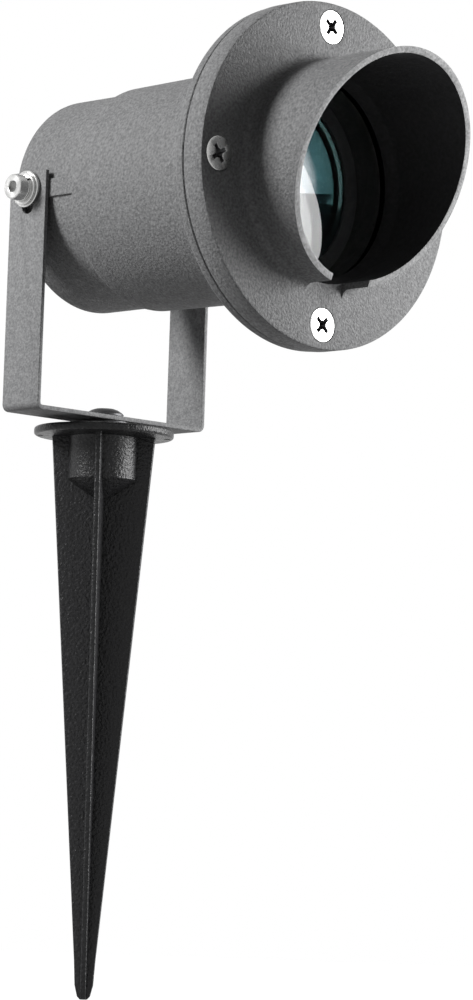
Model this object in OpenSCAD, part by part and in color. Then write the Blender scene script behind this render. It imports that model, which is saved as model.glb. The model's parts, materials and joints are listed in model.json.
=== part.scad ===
// Garden spike spotlight: a cast projector head for one 50 mm twist-lock reflector lamp, hung in a
// strip bracket that is bolted on top of a moulded ground spike.
// Frame: the origin is on the spike's axis, at ground level under its top disc. +Z is up, X is the
// tilt axis, and the light leaves towards -Y. Millimetres.

/* [Ground spike] */
// Diameter of the round top disc
disc_d = 39; // [34:0.5:60]
// Thickness of the top disc
disc_t = 2.2; // [1.5:0.1:5]
// Diameter of the raised hub on the disc
hub_d = 16; // [13:0.5:24]
// Height of the raised hub above the disc
hub_h = 0.9; // [0.5:0.1:3]
// Length of the ribs below the disc
spike_len = 156; // [110:1:240]
// Width across the ribs right under the disc
rib_span = 29; // [24:0.5:33]
// Width across the ribs where the blunt tip begins
tip_span = 6; // [4:0.5:10]
// Length of the blunt tip
tip_len = 11; // [6:0.5:20]
// Thickness of a rib
rib_t = 1.5; // [1.2:0.1:3]
// Turn of the ribs from the tilt axis, in degrees
rib_turn = 41; // [0:1:89]
// Diameter of the boss between the ribs
boss_d = 19; // [17:0.5:24]
// Length of the straight part of the boss
boss_h = 12; // [11.5:0.5:20]
// Length of the conical end of the boss
boss_cone_h = 6; // [3:0.5:12]

/* [Spike bolt] */
// Thread diameter of the bolt
bolt_d = 6; // [5:0.5:6.5]
// Length of the bolt under its head
bolt_len = 15; // [14:0.5:16]
// Diameter of the bolt's head
bolt_head_d = 10.6; // [10:0.1:13]
// Height of the bolt's head
bolt_head_h = 2.4; // [1.8:0.1:4]
// Width across the flats of the nut in the boss
nut_af = 10; // [9.5:0.5:12]
// Height of the nut in the boss
nut_h = 5; // [4:0.5:5.5]
// Diameter of the washer on the hub
hub_washer_d = 14; // [12:0.5:18]
// Thickness of the washer on the hub
hub_washer_t = 1; // [0.8:0.1:1.6]

/* [Bracket] */
// Overall width over the bracket's arms
bracket_w = 63.6; // [63.4:0.1:84]
// Width of the strip
strip_w = 14.5; // [13:0.5:20]
// Thickness of the strip
strip_t = 1.2; // [1:0.1:2]
// Outer radius of the two bends
bend_r = 2; // [1.6:0.1:4]
// Height of the tilt axis above the underside of the base
pivot_h = 61.2; // [52:0.1:90]
// Height of the arms above the tilt axis
arm_top = 4.9; // [4.5:0.1:9]
// Width of the slots in the arms
slot_w = 4.6; // [4.4:0.1:5.2]
// Drop of the slots below the tilt axis
slot_drop = 4.5; // [2:0.5:12]

/* [Pivot screws] */
// Thread diameter of the pivot screws
pivot_d = 4; // [3.5:0.1:4.2]
// Diameter of their cylindrical heads
pivot_head_d = 7; // [6.5:0.1:8]
// Height of their heads
pivot_head_h = 2.9; // [2.4:0.1:4]
// Width across the flats of the hexagon socket
hex_af = 3; // [2.5:0.5:4]
// Depth that the pivot screws reach into the housing
pivot_bite = 8; // [6:0.5:9]
// Outer diameter of the flat washers
washer_d = 9; // [8.5:0.1:11]
// Thickness of the flat washers
washer_t = 0.8; // [0.5:0.1:1.2]
// Outer diameter of the washers that cover the slots
slot_washer_d = 10.2; // [9.6:0.1:14]
// Thickness of the washers that cover the slots
slot_washer_t = 1; // [0.8:0.1:1.5]
// Outer diameter of the split spring washers
spring_d = 7.4; // [7:0.1:8]
// Thickness of the split spring washers
spring_t = 1; // [0.8:0.1:1.4]

/* [Housing] */
// Distance from the tilt axis to the front face of the bezel
head_reach = 84; // [80:0.5:110]
// Distance from the tilt axis to the rear face
tail_reach = 7.4; // [7:0.1:14]
// Diameter of the housing behind the shoulder
rear_d = 59.6; // [59.2:0.1:60]
// Distance from the tilt axis to the shoulder
shoulder_at = 15.5; // [12:0.5:30]
// Diameter of the housing in front of the shoulder
front_d = 62.2; // [61.6:0.1:66]
// Growth in diameter from the shoulder to the flange
front_draft = 1.6; // [0:0.1:3]
// Thickness of the housing's rear wall
rear_wall = 3; // [2.5:0.1:3.2]
// Bore of the housing
bore_d = 56.6; // [55.4:0.1:56.8]
// Diameter of the housing's flange
flange_d = 93; // [90:0.5:110]
// Thickness of the housing's flange
flange_t = 3.2; // [2.8:0.1:6]
// Height of the flat pads at the tilt axis
pad_h = 5; // [4.2:0.1:8]

/* [Bezel and hood] */
// Diameter of the bezel
bezel_d = 93.6; // [91:0.5:112]
// Thickness of the bezel
bezel_t = 6.9; // [6.2:0.1:10]
// Outer diameter of the glare hood
hood_d = 61.6; // [61:0.1:66]
// Wall of the glare hood
hood_wall = 1.7; // [1.2:0.1:2.4]
// Length of the hood on its axis
hood_len = 20.9; // [16:0.1:40]
// Slant of the hood's mouth, in degrees
hood_slant = 20.6; // [0:0.1:25]
// Radius of the fillet at the hood's foot
hood_fillet = 2.6; // [0.5:0.1:3]
// Width of the drain notch at the bottom of the hood
notch_w = 14; // [8:0.5:20]
// Opening of the lip in front of the glass
lip_d = 55; // [52:0.5:55]
// Diameter of the circle that the bezel screws stand on
screw_circle_d = 80.6; // [80:0.2:84]
// Thread diameter of the bezel screws
screw_d = 5; // [4:0.5:5]
// Diameter of their countersunk heads
screw_head_d = 9.2; // [8.4:0.1:9.6]
// Thickness of the seal between bezel and flange
seal_t = 0.5; // [0.4:0.1:1.2]

/* [Glass] */
// Diameter of the cover glass
glass_d = 62; // [60:0.5:62.4]
// Thickness of the cover glass
glass_t = 3; // [2.5:0.1:3.4]
// Thickness of the seal's walls around the glass
gasket_t = 1; // [0.8:0.1:1.2]

/* [Lamp] */
// Diameter of the lamp's rim
lamp_d = 49.5; // [48:0.1:50.5]
// Depth of the lamp's rim behind the front face of the bezel
lamp_depth = 18; // [14:0.5:20]
// Length of the lamp from its rim to the end of its pins
lamp_len = 54; // [50:0.5:56]
// Spacing of the lamp's two pins
pin_pitch = 10; // [8:0.5:11]

/* [Cable gland] */
// Thread diameter of the gland
gland_d = 16; // [14:0.5:17]
// Width across the flats of the gland's hexagons
gland_af = 20; // [19.5:0.5:22]
// Bore for the cable
cable_bore = 7.6; // [6:0.1:8.4]
// Length of the gland's cap
cap_len = 9.5; // [9:0.5:14]

/* [Hidden] */

$fn = 96;
eps = 0.01;              // overrun of a cut
slip = 0.15;             // gap where the bracket rubs on its neighbours
thread_gap = 0.05;       // gap around a thread in its hole
fit_gap = 0.1;           // gap around a piece that is pushed into a bore

// Heights on the spike's axis
hub_top = disc_t + hub_h;
base_z = hub_top + hub_washer_t + slip;
base_top = base_z + strip_t;
pivot_z = base_z + pivot_h;
bolt_tip = 1.5;          // thread that stands out below the nut
nut_z = base_top + slip - bolt_len + bolt_tip;

// Places along the tilt axis, from the middle
arm_in = bracket_w / 2 - strip_t;
arm_out = bracket_w / 2;
pad_x = arm_in - slip;
slot_washer_x = arm_out + slip;
flat_washer_x = slot_washer_x + slot_washer_t;
spring_x = flat_washer_x + washer_t;
pivot_head_x = spring_x + spring_t;
washer_bore = pivot_d + 0.3;
pivot_boss_d = pivot_d + 5;

// Places along the lamp's axis, from the tilt axis, forwards
bezel_rear = head_reach - bezel_t;
flange_front = bezel_rear - seal_t;
flange_rear = flange_front - flange_t;
shoulder_end = shoulder_at + 1.8;
wall_front = rear_wall - tail_reach;
glass_rear = bezel_rear - 1.6;
glass_front = glass_rear + glass_t;
gasket_rear = glass_rear - gasket_t;
gasket_front = glass_front + gasket_t;
gasket_d = glass_d + 2 * gasket_t;
gasket_lip_d = lip_d + 1.6;
seat_d = gasket_d + 2 * fit_gap;
hood_in_d = hood_d - 2 * hood_wall;
lip_cone = 3;
screw_len = bezel_t + seal_t + flange_t - 0.4;
screw_cone_h = (screw_head_d - screw_d) / 2;

// Lamp
rim_s = head_reach - lamp_depth;
rim_t = 2.5;
bowl_wall = 1.5;
bowl_neck_d = 20;
pin_len = 7;
base_rear = rim_s - lamp_len + pin_len;
base_len = 15;
base_d = 25;
base_front = base_rear + base_len;
pin_d = 3;
pin_foot_d = 5;
ring_lip = 0.8;

// Lampholder and what it stands on
holder_d = 26;
holder_front = base_rear - fit_gap;
holder_t = 11.4;
holder_rear = holder_front - holder_t;
plate_t = 1;
plate_rear = holder_rear - plate_t;
yoke_x = 13;
yoke_foot = 8;
yoke_w = 8;
yoke_screw_x = yoke_x + plate_t + 3;
holder_screw_y = 9.4;
small_screw_d = 3;
small_head_d = 5.4;
small_head_h = 1.8;
tab_w = 21;
tab_low = -25;
window_low = -17;
window_high = -13.4;
block_w = 20;
block_low = tab_low + 0.4;
block_high = window_low - 0.1;
block_len = 11;
pole_pitch = 6.4;
pole_d = 3.4;
earth_y = 20;
earth_boss_h = 4;
tag_t = 0.6;
core_d = 2.2;

// Gland, behind the rear face
gland_hex_t = 5.5;
washer_gland_t = 1.5;
hex_front = -tail_reach - washer_gland_t;
hex_rear = hex_front - gland_hex_t;
neck_len = 6;
cap_front = hex_rear - 0.4;
cap_rear = cap_front - cap_len;
locknut_t = 4;
locknut_front = wall_front + locknut_t;
gland_end = locknut_front + 0.3;
gland_bore = cable_bore + 1.6;
seal_d = 12.4;

POWDER = [0.30, 0.31, 0.32];
BLACK = [0.07, 0.07, 0.075];
ZINC = [0.80, 0.81, 0.83];
CERAMIC = [0.90, 0.88, 0.83];
BRASS = [0.80, 0.63, 0.30];

// Points on an arc, from angle a to angle b
function arc(cx, cy, r, a, b, n = 6) =
    [for (i = [0:n]) [cx + r * cos(a + (b - a) * i / n), cy + r * sin(a + (b - a) * i / n)]];

// The lamp's axis as +Z and the sky as +Y, with the tilt axis at the origin
module head_frame() {
    translate([0, 0, pivot_z]) rotate([90, 0, 0]) children();
}

// A disc or ring between two places on the lamp's axis
module ring(s0, s1, d, bore = 0) {
    difference() {
        translate([0, 0, s0]) cylinder(h = s1 - s0, d = d);
        if (bore > 0) translate([0, 0, s0 - 1]) cylinder(h = s1 - s0 + 2, d = bore);
    }
}

// A child on each side of the bracket, with its own +Z pointing outwards
module both_pivots() {
    translate([0, 0, pivot_z])
        for (turn = [90, -90]) rotate([0, turn, 0]) children();
}

// A washer at both pivots
module pivot_washer(x, d, t) {
    both_pivots() translate([0, 0, x]) ring(0, t, d, washer_bore);
}

// Hexagon prism of a given width across its flats
module hexagon(af, h) {
    cylinder(h = h, d = af / cos(30), $fn = 6);
}

// Direction of v as a unit vector
function unit(v) = v / norm(v);

// Direction of a route at its point i, halfway between the pieces that meet there
function heading(points, i) =
    unit((i > 0 ? unit(points[i] - points[i - 1]) : [0, 0, 0])
        + (i < len(points) - 1 ? unit(points[i + 1] - points[i]) : [0, 0, 0]));

// Ring of points around a route's point i; side is a direction that the route never takes
function wire_ring(points, i, d, side) =
    let (t = heading(points, i), u = unit(cross(side, t)), w = cross(t, u))
    [for (k = [0:7]) points[i] + d / 2 * (cos(45 * k) * u + sin(45 * k) * w)];

// A wire of eight sides, swept along a list of points
module wire(points, d, side) {
    last = len(points) - 1;
    polyhedron([for (i = [0:last]) each wire_ring(points, i, d, side)], concat(
        [[for (k = [0:7]) k]],
        [for (i = [0:last - 1], k = [0:7])
            [8 * i + k, 8 * i + 8 + k, 8 * i + 8 + (k + 1) % 8, 8 * i + (k + 1) % 8]],
        [[for (k = [7:-1:0]) 8 * last + k]]));
}

// Outline of one rib, full width, hanging from z = 0
module rib_outline() {
    w0 = rib_span / 2;
    w1 = tip_span / 2;
    polygon([[-w0, eps], [w0, eps], [w1, tip_len - spike_len], [w1 * 0.57, 0.8 - spike_len],
        [w1 * 0.3, -spike_len], [-w1 * 0.3, -spike_len], [-w1 * 0.57, 0.8 - spike_len],
        [-w1, tip_len - spike_len]]);
}

module stake() {
    edge = 0.5;
    color(BLACK) difference() {
        union() {
            rotate_extrude() polygon(concat([[0, 0]],
                arc(disc_d / 2 - edge, edge, edge, -90, 0, 3),
                arc(disc_d / 2 - edge, disc_t - edge, edge, 0, 90, 3),
                [[hub_d / 2, disc_t], [hub_d / 2 - 0.3, hub_top], [0, hub_top]]));
            for (turn = [0, 90]) rotate([90, 0, rib_turn + turn])
                linear_extrude(rib_t, center = true) rib_outline();
            translate([0, 0, -boss_h]) cylinder(h = boss_h + eps, d = boss_d);
            translate([0, 0, -boss_h - boss_cone_h])
                cylinder(h = boss_cone_h, d1 = 2 * rib_t, d2 = boss_d);
        }
        translate([0, 0, nut_z - bolt_tip - 1])
            cylinder(h = hub_top - nut_z + bolt_tip + 2, d = bolt_d + 0.4);
        translate([0, 0, nut_z]) hexagon(nut_af + 2 * thread_gap, nut_h);
    }
}

module stake_nut() {
    color(ZINC) translate([0, 0, nut_z]) difference() {
        hexagon(nut_af, nut_h - thread_gap);
        translate([0, 0, -1]) cylinder(h = nut_h + 2, d = bolt_d + 2 * thread_gap);
    }
}

module stake_bolt() {
    seat = base_top + slip;
    side = bolt_head_h * 0.45;
    crown = bolt_head_d / 2 - 2.6;
    color(ZINC) difference() {
        union() {
            translate([0, 0, seat - bolt_len]) cylinder(h = bolt_len + eps, d = bolt_d);
            translate([0, 0, seat]) rotate_extrude() polygon([[0, 0], [bolt_head_d / 2, 0],
                [bolt_head_d / 2, side], [bolt_head_d / 2 - 1, bolt_head_h * 0.78],
                [crown, bolt_head_h], [0, bolt_head_h]]);
        }
        for (turn = [0, 90]) translate([0, 0, seat + bolt_head_h])
            rotate([0, 0, turn]) cube([5, 1, 2.6], center = true);
    }
}

module hub_washer() {
    color(ZINC) ring(hub_top, hub_top + hub_washer_t, hub_washer_d, bolt_d + 0.4);
}

// Rectangle on the X axis with its two lower corners rounded
module rounded_foot(w, h, r) {
    translate([-w / 2, r]) square([w, h - r]);
    translate([r - w / 2, 0]) square([w - 2 * r, r + eps]);
    for (side = [-1, 1]) translate([side * (w / 2 - r), r]) circle(r);
}

module bracket() {
    arm_h = pivot_h + arm_top;
    color(POWDER) difference() {
        translate([0, strip_w / 2, base_z]) rotate([90, 0, 0]) linear_extrude(strip_w) difference() {
            rounded_foot(bracket_w, arm_h, bend_r);
            translate([0, strip_t]) rounded_foot(2 * arm_in, arm_h, bend_r - strip_t);
        }
        translate([0, 0, base_z - 1]) cylinder(h = strip_t + 2, d = bolt_d + 0.3);
        translate([-bracket_w, 0, pivot_z]) rotate([0, 90, 0]) cylinder(h = 2 * bracket_w, d = slot_w);
        translate([-bracket_w, 0, pivot_z - slot_drop]) rotate([0, 90, 0])
            cylinder(h = 2 * bracket_w, d = slot_w);
        translate([-bracket_w, -slot_w / 2, pivot_z - slot_drop]) cube([2 * bracket_w, slot_w, slot_drop]);
    }
}

module pivot_screws() {
    edge = 0.3;
    color(ZINC) both_pivots() difference() {
        union() {
            translate([0, 0, pad_x - pivot_bite])
                cylinder(h = pivot_head_x - pad_x + pivot_bite + eps, d = pivot_d);
            translate([0, 0, pivot_head_x]) rotate_extrude() polygon([[0, 0], [pivot_head_d / 2, 0],
                [pivot_head_d / 2, pivot_head_h - edge], [pivot_head_d / 2 - edge, pivot_head_h],
                [0, pivot_head_h]]);
        }
        translate([0, 0, pivot_head_x + pivot_head_h - 1.8]) rotate([0, 0, 30]) hexagon(hex_af, 3);
    }
}

module spring_washers() {
    split = 0.7;
    color(ZINC) both_pivots() translate([0, 0, spring_x]) difference() {
        ring(0, spring_t, spring_d, washer_bore);
        rotate([0, 0, -50]) translate([0, -split / 2, -1]) cube([spring_d, split, spring_t + 2]);
    }
}

module flat_washers() { color(ZINC) pivot_washer(flat_washer_x, washer_d, washer_t); }

module slot_washers() { color(ZINC) pivot_washer(slot_washer_x, slot_washer_d, slot_washer_t); }

// Outer and inner outline of the cast housing, radius against place on the axis
module housing_section() {
    edge = 1;
    blend = 2.6;
    lip = 1.2;
    foot_r = (front_d + front_draft) / 2;
    polygon(concat([[0, -tail_reach]],
        arc(rear_d / 2 - edge, edge - tail_reach, edge, -90, 0, 4),
        [[rear_d / 2, shoulder_at], [front_d / 2, shoulder_end]],
        arc(foot_r + blend, flange_rear - blend, blend, 180, 90, 6),
        arc(flange_d / 2 - lip, flange_rear + lip, lip, -90, 0, 4),
        [[flange_d / 2, flange_front], [seat_d / 2, flange_front], [seat_d / 2, gasket_rear],
            [bore_d / 2, gasket_rear], [bore_d / 2, wall_front], [0, wall_front]]));
}

module housing() {
    color(POWDER) difference() {
        union() {
            head_frame() {
                rotate_extrude() housing_section();
                translate([0, earth_y, wall_front - eps]) cylinder(h = earth_boss_h + eps, d = 8);
            }
            // flat pads that the arms clamp, and the threaded bosses behind them
            intersection() {
                translate([-pad_x, -shoulder_end, pivot_z - pad_h / 2])
                    cube([2 * pad_x, shoulder_end + tail_reach - 0.6, pad_h]);
                both_pivots() translate([0, 0, bore_d / 2 - 1])
                    cylinder(h = pad_x - bore_d / 2 + 2, d = 2 * rear_d);
            }
            both_pivots() translate([0, 0, pad_x - pivot_bite - 0.5])
                cylinder(h = pivot_bite - 0.5, d = pivot_boss_d);
        }
        both_pivots() translate([0, 0, pad_x - pivot_bite - 1])
            cylinder(h = pivot_bite + 3, d = pivot_d + 2 * thread_gap);
        head_frame() {
            translate([0, 0, -tail_reach - 1]) cylinder(h = rear_wall + 2, d = gland_d + 2 * fit_gap);
            for (turn = [0:90:270]) rotate([0, 0, turn]) translate([screw_circle_d / 2, 0, flange_rear - 1])
                cylinder(h = flange_t + 2, d = screw_d + 2 * thread_gap);
            for (side = [-1, 1]) translate([side * yoke_screw_x, 0, 0.8 - tail_reach])
                cylinder(h = rear_wall, d = small_screw_d + 2 * thread_gap);
            translate([0, earth_y, wall_front - 1.6])
                cylinder(h = earth_boss_h + 3, d = small_screw_d + 2 * thread_gap);
        }
    }
}

// Section of the bezel with a hood that is longer than its slanted mouth
module bezel_section() {
    edge = 0.4;
    hood_end = head_reach + hood_len + hood_d / 2 * tan(hood_slant) + 5;
    lip_end = gasket_front + 0.3;
    polygon(concat(
        [[lip_d / 2, gasket_front], [seat_d / 2, gasket_front], [seat_d / 2, bezel_rear],
            [bezel_d / 2 - edge, bezel_rear], [bezel_d / 2, bezel_rear + edge],
            [bezel_d / 2, head_reach - edge], [bezel_d / 2 - edge, head_reach]],
        arc(hood_d / 2 + hood_fillet, head_reach + hood_fillet, hood_fillet, 270, 180, 6),
        [[hood_d / 2, hood_end], [hood_in_d / 2, hood_end], [hood_in_d / 2, lip_end + lip_cone],
            [lip_d / 2, lip_end]]));
}

module bezel() {
    color(POWDER) head_frame() difference() {
        rotate_extrude() bezel_section();
        // slanted mouth, longest at the top
        translate([0, 0, head_reach + hood_len]) rotate([-hood_slant, 0, 0])
            translate([-bezel_d, -bezel_d, 0]) cube([2 * bezel_d, 2 * bezel_d, bezel_d]);
        // drain notch
        translate([-notch_w / 2, -hood_d / 2 - hood_fillet - 1, head_reach])
            cube([notch_w, hood_wall + hood_fillet + 4, hood_d]);
        for (turn = [0:90:270]) rotate([0, 0, turn]) translate([screw_circle_d / 2, 0, 0]) {
            translate([0, 0, bezel_rear - 1]) cylinder(h = bezel_t + 2, d = screw_d + 0.4);
            translate([0, 0, head_reach - screw_cone_h - fit_gap])
                cylinder(h = screw_cone_h + 0.3, d1 = screw_d, d2 = screw_head_d + 0.6);
        }
    }
}

module bezel_screws() {
    color(ZINC) head_frame() for (turn = [0:90:270])
        rotate([0, 0, turn]) translate([screw_circle_d / 2, 0, head_reach]) difference() {
            union() {
                translate([0, 0, -screw_len]) cylinder(h = screw_len - screw_cone_h + eps, d = screw_d);
                translate([0, 0, -screw_cone_h]) cylinder(h = screw_cone_h, d1 = screw_d, d2 = screw_head_d);
            }
            for (cross = [45, 135]) rotate([0, 0, cross]) cube([4.6, 0.9, 3.4], center = true);
        }
}

module flange_gasket() {
    color(BLACK) head_frame() difference() {
        ring(flange_front, bezel_rear, flange_d - 1.6, seat_d + 1.2);
        for (turn = [0:90:270]) rotate([0, 0, turn]) translate([screw_circle_d / 2, 0, flange_front - 1])
            cylinder(h = seal_t + 2, d = screw_d + 0.6);
    }
}

module glass_gasket() {
    color(BLACK) head_frame() difference() {
        ring(gasket_rear, gasket_front, gasket_d, gasket_lip_d);
        ring(glass_rear, glass_front, glass_d + fit_gap);
    }
}

module cover_glass() {
    color([0.80, 0.88, 0.90, 0.35]) head_frame() ring(glass_rear, glass_front, glass_d);
}

// Radius of the lamp's bowl at a place between its neck (0) and its rim (1)
function bowl_r(t) = bowl_neck_d / 2 + (lamp_d / 2 - 1.1 - bowl_neck_d / 2) * sqrt(1 - (1 - t) * (1 - t)) ;

module lamp_reflector() {
    s0 = base_front - 2;
    s1 = rim_s - rim_t;
    steps = 14;
    outer = [for (i = [0:steps]) [bowl_r(i / steps), s0 + (s1 - s0) * pow(i / steps, 1.4)]];
    inner = [for (i = [steps:-1:0]) [bowl_r(i / steps) - bowl_wall, s0 + (s1 - s0) * pow(i / steps, 1.4)]];
    color([0.25, 0.55, 0.58]) head_frame() rotate_extrude() polygon(concat(outer,
        [[lamp_d / 2, s1], [lamp_d / 2, rim_s], [lamp_d / 2 - 1, rim_s], [lamp_d / 2 - 1, rim_s - 1.2],
            [lamp_d / 2 - 1.1 - bowl_wall, rim_s - 1.2]], inner));
}

module lamp_front_glass() {
    color([0.85, 0.88, 0.90, 0.4]) head_frame() ring(rim_s - 1.2, rim_s - 0.2, lamp_d - 2.2);
}

module lamp_capsule() {
    r = 4.4;
    color([0.92, 0.94, 0.96, 0.5]) head_frame() rotate_extrude() polygon(concat(
        [[0, base_front], [r, base_front]], arc(0, base_front + 15, r, 0, 90, 6)));
}

module lamp_base() {
    foot = 2;
    color(CERAMIC) head_frame() difference() {
        union() {
            ring(base_rear, base_front - foot, base_d);
            ring(base_front - foot - eps, base_front, bowl_neck_d - 2 * bowl_wall - 2 * fit_gap);
        }
        for (side = [-1, 1]) translate([side * pin_pitch / 2, 0, base_rear - 1])
            cylinder(h = 5, d = pin_d + 2 * thread_gap);
    }
}

module lamp_pins() {
    color(ZINC) head_frame() for (side = [-1, 1]) translate([side * pin_pitch / 2, 0, 0]) {
        ring(base_rear - pin_len + 2, base_rear + 3.9, pin_d);
        ring(base_rear - pin_len, base_rear - pin_len + 2 + eps, pin_foot_d);
    }
}

module lamp_ring() {
    color(BLACK) head_frame() difference() {
        ring(rim_s - rim_t - 1, rim_s + fit_gap + ring_lip, bore_d - 2 * fit_gap, lamp_d - 1.4);
        ring(rim_s - rim_t - 2, rim_s + fit_gap, lamp_d + 2 * fit_gap);
    }
}

module lampholder() {
    pocket_rear = base_rear - pin_len - 0.8;
    color(CERAMIC) head_frame() difference() {
        ring(holder_rear, holder_front, holder_d);
        for (side = [-1, 1]) {
            translate([side * pin_pitch / 2, 0, pocket_rear]) cylinder(h = 20, d = pin_foot_d + 0.6);
            translate([0, side * holder_screw_y, holder_rear - 1]) cylinder(h = 30, d = small_screw_d + 0.4);
            translate([0, side * holder_screw_y, holder_front - small_head_h - 0.4])
                cylinder(h = 5, d = small_head_d + 0.3);
        }
    }
}

module holder_contacts() {
    pocket_rear = base_rear - pin_len - 0.8;
    color(BRASS) head_frame() for (side = [-1, 1])
        translate([side * pin_pitch / 2, 0, pocket_rear]) cylinder(h = 0.7, d = pin_foot_d);
}

module holder_bracket() {
    leg_h = plate_rear - wall_front;
    color(ZINC) head_frame() difference() {
        union() {
            translate([-yoke_x - plate_t, -holder_d / 2, plate_rear])
                cube([2 * (yoke_x + plate_t), holder_d, plate_t]);
            translate([-tab_w / 2, tab_low, plate_rear]) cube([tab_w, -tab_low, plate_t]);
            for (side = [0, 1]) mirror([side, 0, 0]) {
                translate([yoke_x, -yoke_w / 2, wall_front]) cube([plate_t, yoke_w, leg_h + eps]);
                translate([yoke_x, -yoke_w / 2, wall_front]) cube([yoke_foot, yoke_w, plate_t]);
            }
        }
        translate([-6, window_low, plate_rear - 1]) cube([12, window_high - window_low, plate_t + 2]);
        for (side = [-1, 1]) {
            translate([0, side * holder_screw_y, plate_rear - 1])
                cylinder(h = plate_t + 2, d = small_screw_d + 2 * thread_gap);
            translate([side * yoke_screw_x, 0, wall_front - 1]) cylinder(h = plate_t + 2, d = small_screw_d + 0.4);
        }
    }
}

// Small screw with its head's seat at the origin, shank downwards
module small_screw(len) {
    difference() {
        union() {
            translate([0, 0, -len]) cylinder(h = len + eps, d = small_screw_d, $fn = 48);
            cylinder(h = small_head_h, d = small_head_d, $fn = 48);
        }
        translate([0, 0, small_head_h]) cube([small_head_d + 1, 0.8, 1.6], center = true);
    }
}

module holder_screws() {
    seat = holder_front - small_head_h - 0.4;
    color(ZINC) head_frame() for (side = [-1, 1])
        translate([0, side * holder_screw_y, seat]) small_screw(seat - plate_rear + 1.6);
}

module yoke_screws() {
    color(ZINC) head_frame() for (side = [-1, 1])
        translate([side * yoke_screw_x, 0, wall_front + plate_t]) small_screw(plate_t + 2);
}

module terminal_block() {
    s0 = plate_rear + plate_t;
    mid = (block_low + block_high) / 2;
    color([0.93, 0.92, 0.88]) head_frame() difference() {
        translate([-block_w / 2, block_low, s0]) cube([block_w, block_high - block_low, block_len]);
        for (pole = [-1:1]) {
            translate([pole * pole_pitch, block_high + 1, s0 + 3.2]) rotate([90, 0, 0])
                cylinder(h = 4.6, d = core_d + 0.4, $fn = 48);
            translate([pole * pole_pitch, mid - 0.6, s0 + 5]) cylinder(h = block_len, d = pole_d + 0.2, $fn = 48);
        }
    }
}

module terminal_screws() {
    s0 = plate_rear + plate_t;
    mid = (block_low + block_high) / 2;
    color(BRASS) head_frame() for (pole = [-1:1]) translate([pole * pole_pitch, mid - 0.6, s0 + 5.1])
        difference() {
            cylinder(h = 4.6, d = pole_d, $fn = 48);
            translate([0, 0, 4.6]) cube([pole_d + 1, 0.7, 1.6], center = true);
        }
}

module earth_tag() {
    s0 = wall_front + earth_boss_h;
    color(BRASS) head_frame() difference() {
        union() {
            translate([0, earth_y, s0]) cylinder(h = tag_t, d = 7.6, $fn = 48);
            translate([-1.6, earth_y - 7, s0]) cube([3.2, 5, tag_t]);
        }
        translate([0, earth_y, s0 - 1]) cylinder(h = tag_t + 2, d = small_screw_d + 0.3, $fn = 48);
    }
}

module earth_screw() {
    color(ZINC) head_frame()
        translate([0, earth_y, wall_front + earth_boss_h + tag_t]) small_screw(earth_boss_h + tag_t + 1);
}

module gland_body() {
    color(BLACK) head_frame() difference() {
        union() {
            ring(hex_front - eps, gland_end, gland_d);
            translate([0, 0, hex_rear]) hexagon(gland_af, gland_hex_t);
            ring(hex_rear - neck_len, hex_rear + eps, gland_d - 1);
        }
        translate([0, 0, hex_rear - neck_len - 1]) cylinder(h = 60, d = gland_bore);
        translate([0, 0, hex_rear - neck_len - 1]) cylinder(h = 7, d = seal_d + 2 * fit_gap);
    }
}

module gland_seal() {
    color([0.16, 0.16, 0.17]) head_frame() ring(hex_rear - neck_len - 1.4, hex_rear - 0.1, seal_d, cable_bore);
}

module gland_cap() {
    wall = 2;
    dome = 4;
    dome_r = gland_af / 2 - 0.3;
    color(BLACK) head_frame() difference() {
        union() {
            translate([0, 0, cap_rear + dome]) hexagon(gland_af, cap_len - dome);
            translate([0, 0, cap_rear]) rotate_extrude() polygon(concat([[0, 0]],
                arc(dome_r - dome, dome, dome, -90, 0, 6), [[dome_r, dome + 0.5], [0, dome + 0.5]]));
        }
        translate([0, 0, cap_front - neck_len]) cylinder(h = neck_len + 1, d = gland_d - 1 + 2 * fit_gap);
        translate([0, 0, cap_rear + wall]) cylinder(h = cap_len, d = seal_d + 0.6);
        translate([0, 0, cap_rear - 1]) cylinder(h = wall + 2, d = cable_bore + 1.2);
    }
}

module gland_washer() {
    color([0.16, 0.16, 0.17]) head_frame() ring(hex_front, -tail_reach, gland_af, gland_d + 2 * fit_gap);
}

module gland_locknut() {
    color(BLACK) head_frame() difference() {
        translate([0, 0, wall_front]) hexagon(gland_af, locknut_t);
        translate([0, 0, wall_front - 1]) cylinder(h = locknut_t + 2, d = gland_d + 2 * thread_gap);
    }
}

// A core from the gland, through the plate's window, into a pole of the terminal block
module supply_core(pole) {
    s0 = plate_rear + plate_t + 3.2;
    turn_y = (window_low + window_high) / 2;
    bend_s = gland_end + 1.8;
    wire([[pole * 2.6, -1, 1 - tail_reach], [pole * 2.6, -1, gland_end - 0.4],
        [pole * 2.6, -1.9, gland_end + 1.2], [pole * 2.6, -3.8, bend_s], [pole * 2.9, turn_y + 4, bend_s],
        [pole * 3.1, turn_y + 1, bend_s + 0.8], [pole * 3.3, turn_y, plate_rear - 1],
        [pole * 3.8, turn_y, s0 - 1.8], [pole * 5.4, turn_y - 0.2, s0 - 0.4],
        [pole * pole_pitch, block_high + 0.7, s0], [pole * pole_pitch, block_high - 3, s0]],
        core_d, [1, 0, 0]);
}

module lead_live() { color([0.42, 0.24, 0.14]) head_frame() supply_core(-1); }

module lead_neutral() { color([0.12, 0.35, 0.72]) head_frame() supply_core(1); }

module lead_earth() {
    s0 = wall_front + earth_boss_h + tag_t + core_d / 2;
    color([0.35, 0.62, 0.20]) head_frame() wire([[0, 2.6, 1 - tail_reach], [0, 2.6, gland_end - 0.6],
        [0, 3.4, gland_end + 0.9], [0, 5.4, s0], [0, earth_y - 4.6, s0]], core_d, [1, 0, 0]);
}

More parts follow.
